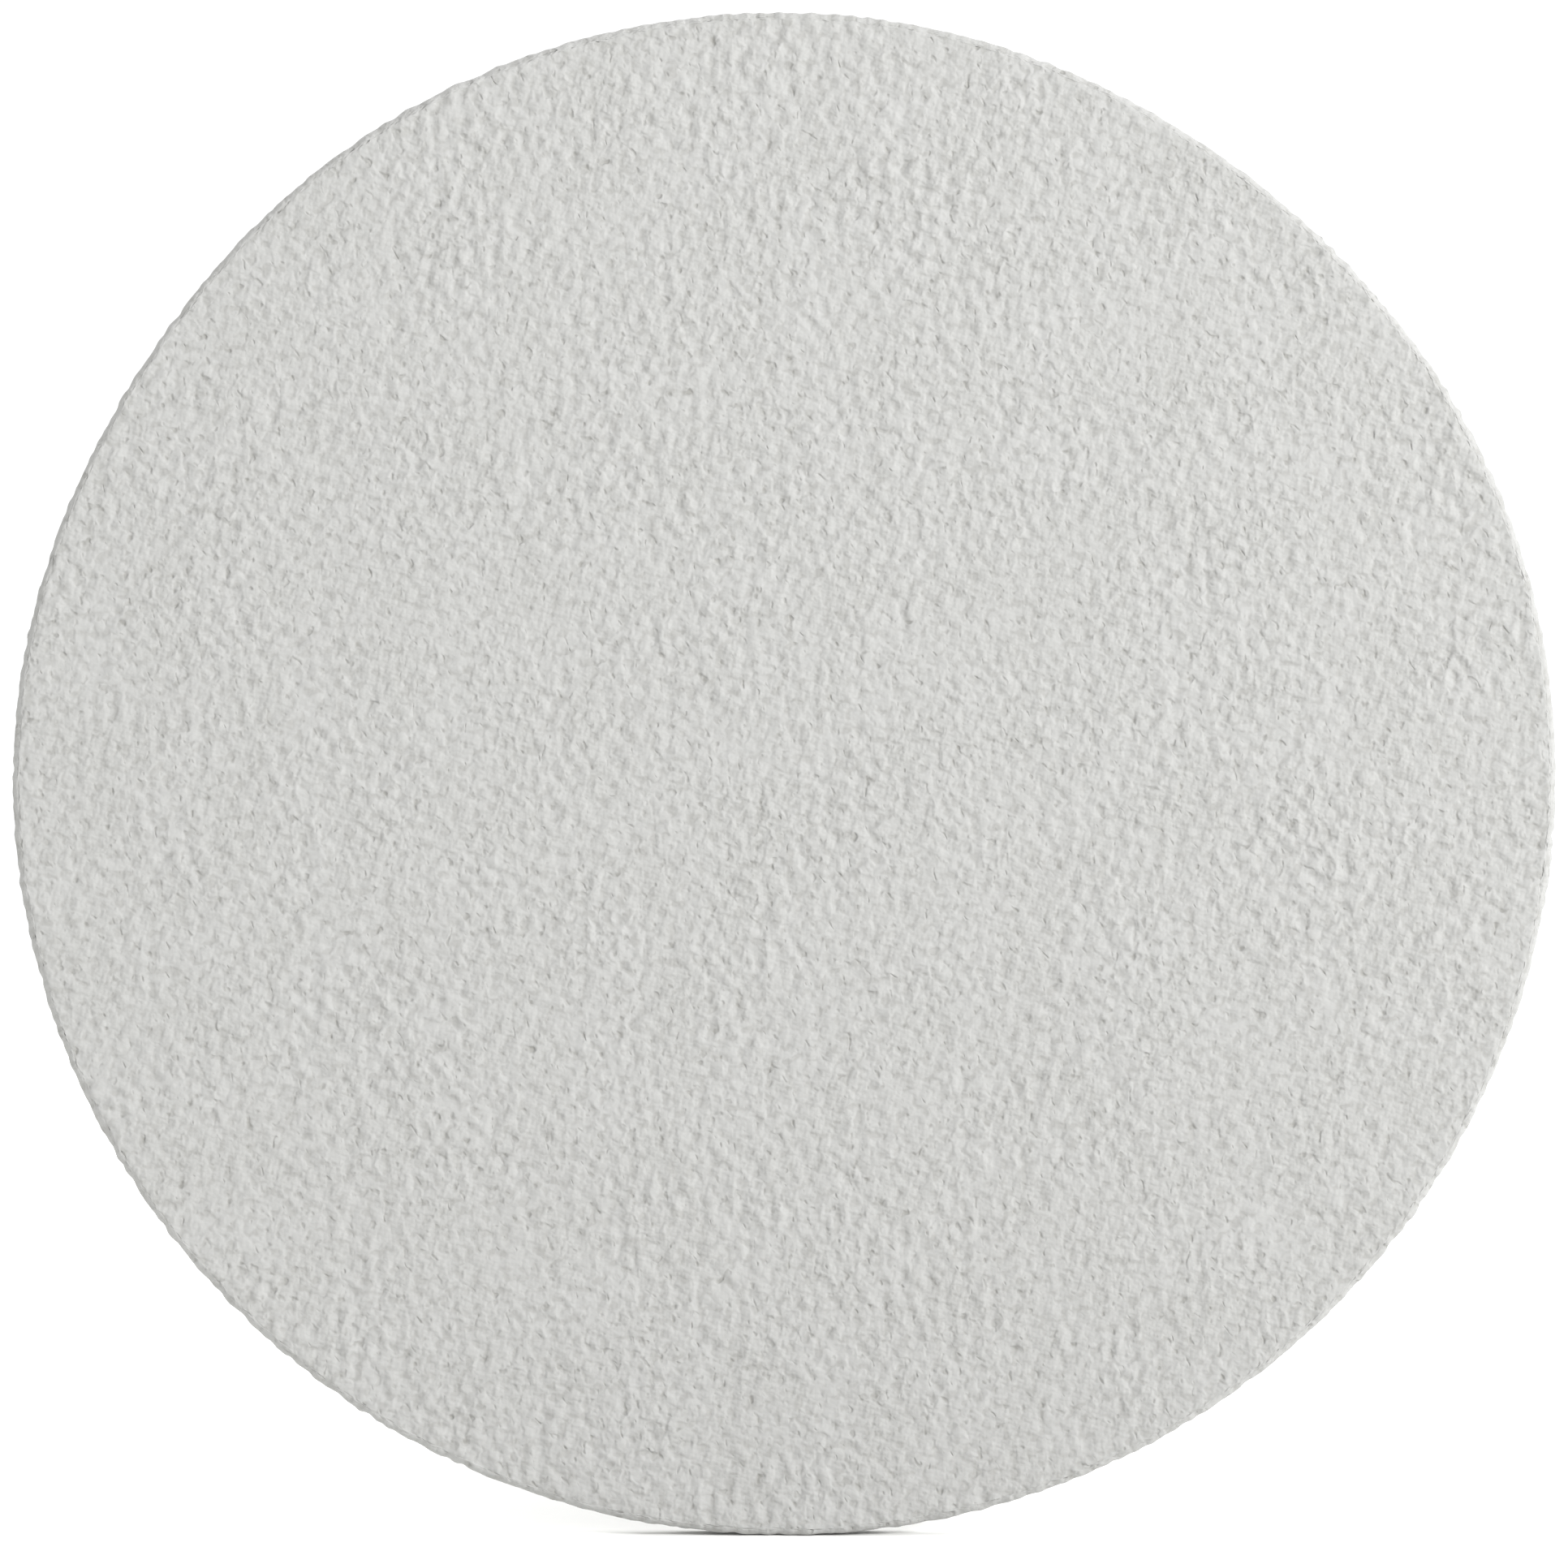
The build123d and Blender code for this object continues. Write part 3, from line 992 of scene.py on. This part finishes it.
def makeBackCloth(cloth):
    deselectAll()
    bpy.ops.mesh.primitive_grid_add(
        x_subdivisions=cloth["cells"],
        y_subdivisions=cloth["cells"],
        size=2,
        rotation=(math.pi / 2, 0, 0),
    )
    whole = bpy.context.object
    whole.name = whole.data.name = "backCloth"
    applyPlace(whole)
    places = readPlaces(whole)
    x, z = places[:, 0].copy(), places[:, 2].copy()
    across = x * np.sqrt(1 - z * z / 2) * (meanRadius - cloth["inset"])
    up = z * np.sqrt(1 - x * x / 2) * (meanRadius - cloth["inset"])
    inset = meanRadius - np.hypot(across, up)
    # the hem gathers the cloth into shallow rays that die out towards the middle
    angle = np.arctan2(up, across)
    under, rise = cloth["puckerStart"]
    rays = smoothStep((inset - bindingInner + under) / rise)
    rays *= smoothStep(1 - (inset - bindingInner) / cloth["puckerReach"])
    often, far = cloth["wander"]
    stray = [noise.noise(Vector((often * math.cos(a), often * math.sin(a), 1))) for a in angle]
    puckers = cloth["puckerHeight"] * np.sin(cloth["puckers"] * angle + far * np.array(stray))
    size = cloth["slackSize"]
    spots = [Vector((a, 4 * size, b)) / size for a, b in zip(across, up)]
    slack = cloth["slack"] * np.array([noise.noise(spot) for spot in spots])
    slack *= smoothStep((inset - bindingInner) / cloth["slackRise"])
    # the sewn label keeps the cloth under it flat
    middle, half = (labelLow + labelHigh) / 2, (labelHigh - labelLow) / 2
    outside = np.maximum(abs(across - middle.x) - half.x, abs(up - middle.z) - half.z)
    outside -= cloth["labelMargin"]
    depth = rays * smoothStep(outside / cloth["labelRise"]) * puckers
    depth += slack * smoothStep(outside / cloth["slackRise"])
    places = np.stack([across, (backClothLow.y + backClothHigh.y) / 2 + depth, up], axis=1)
    writeVector(whole, "clothPlace", np.stack([across, 0 * across, up], axis=1) / mm)
    writePlaces(whole, drawToOval(places))
    faceOut(whole)
    thickness = whole.modifiers.new("thickness", "SOLIDIFY")
    thickness.thickness = backClothHigh.y - backClothLow.y
    thickness.offset = 0
    applyModifiers(whole)
    halves = makeHalves(whole, "backClothLeft", "backClothRight")
    for half in halves:
        smoothUnder(half, 40)
        dress(half, "backing")
    return halves


backHalves = makeBackCloth(backCloth)
print("back cloth made:", [len(half.data.polygons) for half in backHalves])


hoop = {
    "steps": 600,
    "bandThick": 0.8 * mm,
    "bandRound": 0.15 * mm,
    "bandGap": 0.2 * mm,
    "casingThick": 0.4 * mm,
    "casingRound": 0.3 * mm,
    "casingGap": 0.3 * mm,
}


def boxSection(outer, inner, front, back, ease):
    # four sides with eased corners
    corners = [(outer, front), (outer, back), (inner, back), (inner, front)]
    section = []
    for index, (inset, depth) in enumerate(corners):
        for other in (corners[index - 1], corners[(index + 1) % 4]):
            share = ease / math.dist((inset, depth), other)
            section.append((inset + (other[0] - inset) * share, depth + (other[1] - depth) * share))
    return section


def openAtFoot(piece, gap):
    # takes out the stretch at the foot where the joining sleeve sits, and closes the ends
    for sign in (-1, 1):
        pickFaces(piece, lambda face: face.center.z < 0 and abs(face.center.x) < gap + 6 * mm)
        startEdit(piece, "FACE")
        bpy.ops.mesh.bisect(plane_co=(sign * gap, 0, 0), plane_no=(sign, 0, 0), threshold=hair)
        stopEdit()
    pickFaces(piece, lambda face: face.center.z < 0 and abs(face.center.x) < gap)
    startEdit(piece, "FACE")
    bpy.ops.mesh.delete(type="FACE")
    bpy.ops.mesh.select_mode(type="EDGE")
    bpy.ops.mesh.select_all(action="DESELECT")
    bpy.ops.mesh.select_non_manifold()
    bpy.ops.mesh.fill()
    stopEdit()


def makeHoop(look):
    casingOuter, bandOuter = halfTall - casingHigh.z, halfTall - bandHigh.z
    bandInner = bandOuter + look["bandThick"]
    casingInner = bandInner + bandOuter - casingOuter
    wall = look["casingThick"]
    band = turnRing(
        "springHoop",
        boxSection(bandOuter, bandInner, bandLow.y, bandHigh.y, look["bandRound"]),
        look["steps"],
    )
    casing = turnRing(
        "hoopCasing",
        boxSection(casingOuter, casingInner, casingLow.y, casingHigh.y, look["casingRound"]),
        look["steps"],
    )
    lining = turnRing(
        "casingLining",
        boxSection(
            casingOuter + wall,
            casingInner - wall,
            casingLow.y + wall,
            casingHigh.y - wall,
            look["bandRound"] / 2,
        ),
        look["steps"],
    )
    startEdit(lining)
    bpy.ops.mesh.select_all(action="SELECT")
    bpy.ops.mesh.flip_normals()
    stopEdit()
    casing = joinAll([casing, lining], "hoopCasing")
    halves = []
    for piece, gap, material, slotName in (
        (band, look["bandGap"], "springSteel", "spring_steel"),
        (casing, sleeveHigh.x + look["casingGap"], "casing", "casing_cloth"),
    ):
        along, across = readNumber(piece, "along"), readNumber(piece, "across")
        writeVector(piece, "clothPlace", np.stack([along, 0 * along, across], axis=1))
        writePlaces(piece, drawToOval(readPlaces(piece)))
        openAtFoot(piece, gap)
        name = piece.name
        pair = makeHalves(piece, name + "Left", name + "Right")
        for half in pair:
            smoothUnder(half, 50)
            dress(half, material)
        halves.append(pair)
    return halves


bandHalves, casingHalves = makeHoop(hoop)
for nodeName, material in (("hoop_sleeve", "sleeve"), ("hoop_rivets", "rivets")):
    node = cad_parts[nodeName]
    node.data.materials.clear()
    node.data.materials.append(materials[material])
print("hoop made:", len(bandHalves[0].data.polygons), len(casingHalves[0].data.polygons))


hangingTab = {
    "width": tabHigh.x - tabLow.x,
    "holeRadius": 4.45 * mm,
    "gap": 0.06 * mm,  # between the two layers of webbing
    "edgeRound": 0.3 * mm,
    "rings": (6.4 * mm, 8.2 * mm),  # radii between the hole and the sides
    "rows": 14,  # from the eyelet's end up to the hem
    "hinge": anchorLow.z,
    "bend": (0.8 * mm, 4.4 * mm),  # above and below the hinge
    "foldUnder": 5.2 * mm,
    "stitchPitch": 2.4 * mm,
    "stitchLength": 2.0 * mm,
    "stitchWidth": 0.6 * mm,
    "edgeMargin": 1.5 * mm,
    "boxMargin": 2.3 * mm,
    "boxHeight": 3.0 * mm,
}
eyeletZ = (eyeletLow.z + eyeletHigh.z) / 2


def makeWebbingLayer(tab, name, front, rear):
    # rings outwards from the eyelet's hole, squared off at the top and drawn up to the hem
    deselectAll()
    bpy.ops.mesh.primitive_circle_add(
        vertices=64,
        radius=tab["holeRadius"],
        location=(0, (front + rear) / 2, eyeletZ),
        rotation=(math.pi / 2, 0, 0),
    )
    layer = bpy.context.object
    layer.name = layer.data.name = name
    applyPlace(layer)
    startEdit(layer, "EDGE")
    bpy.ops.mesh.select_all(action="SELECT")
    half = tab["width"] / 2
    reached = tab["holeRadius"]
    for radius in tab["rings"] + (half,):
        bpy.ops.mesh.extrude_region_move()
        bpy.ops.transform.resize(
            value=(radius / reached, 1, radius / reached), center_override=(0, 0, eyeletZ)
        )
        reached = radius
    stopEdit()
    places = readPlaces(layer)
    x, z = places[:, 0], places[:, 2] - eyeletZ
    radius = np.hypot(x, z)
    squared = radius / np.maximum(np.maximum(np.abs(x), np.abs(z)), 1e-9)
    share = smoothStep((radius - tab["holeRadius"]) / (half - tab["holeRadius"])) * (z > 0)
    stretch = 1 + (squared - 1) * share
    places[:, 0], places[:, 2] = x * stretch, eyeletZ + z * stretch
    writePlaces(layer, places)
    top = eyeletZ + half - 0.01 * mm
    for edge in layer.data.edges:
        ends = [layer.data.vertices[i].co.z for i in edge.vertices]
        edge.select = min(ends) > top
    for vertex in layer.data.vertices:
        vertex.select = vertex.co.z > top
    startEdit(layer, "EDGE")
    rise = (anchorHigh.z - eyeletZ - half) / tab["rows"]
    for _ in range(tab["rows"]):
        bpy.ops.mesh.extrude_region_move(TRANSFORM_OT_translate={"value": (0, 0, rise)})
    stopEdit()
    return finishLayer(tab, layer, rear - front)


def finishLayer(tab, layer, thick):
    faceOut(layer)
    solid = layer.modifiers.new("thickness", "SOLIDIFY")
    solid.thickness = thick
    solid.offset = 0
    ease = layer.modifiers.new("edges", "BEVEL")
    ease.width = tab["edgeRound"]
    ease.segments = 2
    ease.angle_limit = math.radians(60)
    applyModifiers(layer)
    faceOut(layer)
    return layer


def makeTab(tab):
    middle = (tabLow.y + tabHigh.y) / 2
    layers = [
        makeWebbingLayer(tab, "frontLayer", tabLow.y, middle - tab["gap"] / 2),
        makeWebbingLayer(tab, "rearLayer", middle + tab["gap"] / 2, tabHigh.y),
    ]
    # the end turned under and sewn down on the hem
    underY = (anchorLow.y + tabLow.y - tab["gap"]) / 2
    deselectAll()
    bpy.ops.mesh.primitive_grid_add(
        x_subdivisions=20,
        y_subdivisions=6,
        size=1,
        location=(0, underY, anchorHigh.z - tab["foldUnder"] / 2),
        rotation=(math.pi / 2, 0, 0),
    )
    under = bpy.context.object
    under.scale = (tab["width"], tab["foldUnder"], 1)
    applyPlace(under)
    layers.append(finishLayer(tab, under, tabLow.y - anchorLow.y - tab["gap"]))
    webbing = joinAll(layers, "webbingTab")
    places = readPlaces(webbing)
    writeNumber(webbing, "along", (anchorHigh.z - places[:, 2]) / mm)
    writeNumber(webbing, "across", places[:, 0] / mm)
    smoothUnder(webbing, 45)
    dress(webbing, "webbing")
    return webbing


def runSpots(points, pitch, level):
    # stitches end to end along a line of (x, z) corners
    spots = []
    for (x0, z0), (x1, z1) in zip(points, points[1:]):
        run = math.dist((x0, z0), (x1, z1))
        count = max(1, round(run / pitch))
        turn = -math.atan2(z1 - z0, x1 - x0)
        for step in range(count):
            share = (step + 0.5) / count
            spots.append((x0 + (x1 - x0) * share, level, z0 + (z1 - z0) * share, turn))
    return spots


def makeTabStitches(tab):
    pattern = makeStitch("tabStitch", tab["stitchLength"], tab["stitchWidth"])
    level = tabHigh.y + 0.05 * mm
    across = tab["width"] / 2 - tab["boxMargin"]
    middle = (anchorLow.z + anchorHigh.z) / 2
    low, high = middle - tab["boxHeight"] / 2, middle + tab["boxHeight"] / 2
    box = [(-across, low), (across, low), (across, high), (-across, high), (-across, low)]
    side = tab["width"] / 2 - tab["edgeMargin"]
    top = tab["hinge"] - 1.2 * mm
    count = round(math.pi * side / tab["stitchPitch"])
    turns = [math.pi * step / count for step in range(count + 1)]
    curve = [(side * math.cos(a), eyeletZ - side * math.sin(a)) for a in turns]
    edge = [(side, top)] + curve + [(-side, top)]
    rows = []
    for name, line in (("anchorStitches", box), ("tabEdgeStitches", edge)):
        spots = runSpots(line, tab["stitchPitch"], level)
        rows.append(layStitches(name, pattern, spots, "hemThread"))
    bpy.data.objects.remove(pattern)
    return rows


webbingTab = makeTab(hangingTab)
anchorStitches, tabEdgeStitches = makeTabStitches(hangingTab)
print("tab made:", len(webbingTab.data.polygons))


metalEyelet = {
    "steps": 72,
    "bore": 4.0 * mm,
    "wall": 0.4 * mm,
    "flange": 7.0 * mm,
    "curl": 0.28 * mm,
}


def spinAtEyelet(name, section):
    # a closed section of (radius, depth), turned about the eyelet's own axis
    obj = drawChain(name, [(radius, depth, eyeletZ) for radius, depth in section])
    closeChain(obj)
    spinRound(obj, metalEyelet["steps"], (0, 0, eyeletZ), closed=True)
    smoothUnder(obj, 50)
    dress(obj, "eyelet")
    return obj


def makeEyelet(metal):
    # the rear half is one pressing: a crowned flange rolled into a barrel, set over the washer
    bore, wall, flange, curl = (metal[key] for key in ("bore", "wall", "flange", "curl"))
    front, rear, seat = eyeletLow.y, eyeletHigh.y, tabHigh.y
    barrel = [(bore, front + curl), (bore, rear - 3 * curl)]
    crown = [
        (bore + curl * 0.5, rear - 1.3 * curl),
        (bore + curl * 1.6, rear - 0.35 * curl),
        (bore + curl * 3.4, rear),
        (bore + curl * 5.4, rear - 0.15 * curl),
        (flange - curl * 2.2, rear - 0.6 * curl),
        (flange - curl * 0.8, rear - 1.1 * curl),
        (flange, seat + 0.5 * curl),
        (flange - curl * 0.3, seat + 0.02 * mm),
    ]
    under = [(flange - curl * 2, seat + 0.02 * mm), (bore + wall + curl, seat + 0.02 * mm)]
    outside = [(bore + wall, seat - curl), (bore + wall, washerHigh.y - curl)]
    rolled = [
        (bore + wall + 1.5 * curl, front + 1.6 * curl),
        (bore + wall + 2.2 * curl, front + 1.0 * curl),
        (bore + wall + 1.6 * curl, front + 0.35 * curl),
        (bore + 0.6 * curl, front + 0.1 * curl),
    ]
    eyelet = spinAtEyelet("eyeletBarrel", barrel + crown + under + outside + rolled)
    seat = washerHigh.y - 0.02 * mm
    inner = bore + wall + 0.12 * mm
    washer = spinAtEyelet(
        "eyeletWasherRing",
        [
            (inner, seat),
            (inner, seat - curl * 0.6),
            (inner + curl * 2.6, front + curl * 1.2),
            (inner + curl * 4, front + curl * 0.7),
            (flange - curl * 2, front + curl * 1.0),
            (flange - curl * 0.6, front + curl * 1.4),
            (flange, seat - curl * 0.4),
            (flange - curl * 0.4, seat),
        ],
    )
    return eyelet, washer


eyeletBarrel, eyeletWasherRing = makeEyelet(metalEyelet)
print("eyelet made:", len(eyeletBarrel.data.polygons), len(eyeletWasherRing.data.polygons))


sewnLabel = {
    "thick": 0.22 * mm,
    "foldWidth": 4 * mm,
    "margin": 1.5 * mm,
    "ripple": 0.05 * mm,
    "stitchPitch": 1.9 * mm,
    "stitchLength": 1.6 * mm,
    "stitchWidth": 0.42 * mm,
}


def makeLabel(label):
    # woven satin, its two short ends turned under; left blank
    centre = (labelLow + labelHigh) / 2
    wide, tall = labelHigh.x - labelLow.x, labelHigh.z - labelLow.z
    deselectAll()
    bpy.ops.mesh.primitive_grid_add(
        x_subdivisions=56,
        y_subdivisions=24,
        size=1,
        location=(centre.x, labelLow.y + label["thick"] / 2 + 0.02 * mm, centre.z),
        rotation=(math.pi / 2, 0, 0),
    )
    piece = bpy.context.object
    piece.name = piece.data.name = "blankLabel"
    piece.scale = (wide, tall, 1)
    applyPlace(piece)
    places = readPlaces(piece)
    fromEnd = wide / 2 - np.abs(places[:, 0] - centre.x)
    ends = smoothStep((label["foldWidth"] - fromEnd) / (0.8 * mm))
    lift = ends * smoothStep((fromEnd + 0.3 * mm) / (0.6 * mm)) * 0.1 * mm
    puff = [noise.noise(Vector((x, 2, z)) / (6 * mm)) for x, _, z in places]
    sewn = np.exp(-(((fromEnd - label["margin"]) / (0.7 * mm)) ** 2)) * 0.06 * mm
    places[:, 1] += lift + label["ripple"] * np.abs(puff) * (1 - ends) - sewn
    writeVector(piece, "clothPlace", places / mm)
    writePlaces(piece, places)
    finishLayer({"edgeRound": 0.06 * mm}, piece, label["thick"])
    smoothUnder(piece, 40)
    dress(piece, "label")
    pattern = makeStitch("labelStitch", label["stitchLength"], label["stitchWidth"])
    spots = []
    for sign in (-1, 1):
        x = centre.x + sign * (wide / 2 - label["margin"])
        line = [(x, labelLow.z + label["margin"]), (x, labelHigh.z - label["margin"])]
        spots += runSpots(line, label["stitchPitch"], labelHigh.y)
    stitches = layStitches("labelStitches", pattern, spots, "labelThread")
    bpy.data.objects.remove(pattern)
    return piece, stitches


blankLabel, labelStitches = makeLabel(sewnLabel)
print("label made:", len(blankLabel.data.polygons))


# Every new piece stands for its own solids; the pieces after the halves are joined to their bodies.
for halves, nodeName in (
    (frontHalves, "front_cloth"),
    (backHalves, "back_cloth"),
    (bandHalves, "spring_hoop"),
    (casingHalves, "hoop_casing"),
    (bindingHalves, "hem_binding"),
    (stitchHalves, "hem_stitching"),
):
    foldHalves(halves, nodeName)
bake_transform(webbingTab)
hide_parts("tab_anchor", "hanging_tab")
for piece, body, nodeName in (
    (anchorStitches, "middle", "anchor_stitching"),
    (tabEdgeStitches, "tab", "tab_edge_stitching"),
    (eyeletBarrel, "tab", "eyelet"),
    (eyeletWasherRing, "tab", "eyelet_washer"),
    (blankLabel, "middle", "care_label"),
    (labelStitches, "middle", "label_stitching"),
):
    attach(piece, body)
    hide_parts(nodeName)

print("pieces joined to their bodies")


studio = {
    "lens": 100,
    "sensor": 36,
    "viewWidth": 306.4 * mm,
    "worldLight": 1.09,
    "floorTones": {"dark": "#f6f6f4", "light": "#f9f9f7"},
    "floorSize": 6,
    "floorGrain": 4 * mm,
    "lights": {  # place, what it points at, size in metres and watts
        "keyLight": ((2.80, -1.39, 1.00), (0, 0, 0), 0.5, 112),
        "topLight": ((0.32, -0.50, 0.75), (0, 0, 0), 0.6, 2.2),
        "backLight": ((-0.50, 1.00, 1.10), (-0.25, 0.15, -0.15), 0.8, 12),
    },
}


def makeFloor(look):
    # plain pale painted boards, swept clean
    deselectAll()
    floorZ = -halfTall - 0.1 * mm
    bpy.ops.mesh.primitive_plane_add(size=look["floorSize"], location=(0, 0, floorZ))
    floor = bpy.context.object
    floor.name = floor.data.name = "studioFloor"
    applyPlace(floor)
    material, tree, shader = newMaterial("matFloorPaint", {"Specular IOR Level": 0.1})
    spot = addNode(tree, "TexCoord")
    grain = addNode(
        tree,
        "TexNoise",
        {"Scale": 1 / look["floorGrain"], "Detail": 3},
        {"Vector": (spot, "Object")},
    )
    dullness = addNode(tree, "MapRange", {"To Min": 0.8, "To Max": 0.95}, {"Value": grain})
    tree.links.new(dullness.outputs[0], shader.inputs["Roughness"])
    finishTones(tree, shader, look["floorTones"], grain)
    floor.data.materials.append(material)


def addSoftLight(name, place, aim, size, watts):
    deselectAll()
    bpy.ops.object.light_add(type="AREA", location=place)
    light = bpy.context.object
    light.name = light.data.name = name
    light.data.size = size
    light.data.energy = watts
    light.rotation_euler = (Vector(aim) - Vector(place)).to_track_quat("-Z", "Y").to_euler()


def makeStudio(look):
    makeFloor(look)
    world = bpy.data.worlds.new("studioWorld")
    world.use_nodes = True
    background = world.node_tree.nodes["Background"]
    background.inputs["Color"].default_value = toLinear("#ffffff")
    background.inputs["Strength"].default_value = look["worldLight"]
    bpy.context.scene.world = world
    bpy.context.scene.view_settings.view_transform = "Standard"
    for name, (place, aim, size, watts) in look["lights"].items():
        addSoftLight(name, place, aim, size, watts)
    distance = look["viewWidth"] * look["lens"] / look["sensor"]
    deselectAll()
    bpy.ops.object.camera_add(location=(0, frontY - distance, 0), rotation=(math.pi / 2, 0, 0))
    camera = bpy.context.object
    camera.name = camera.data.name = "squareOnCamera"
    camera.data.lens = look["lens"]
    camera.data.sensor_width = look["sensor"]
    bpy.context.scene.camera = camera


makeStudio(studio)
deselectAll()
print("studio made")
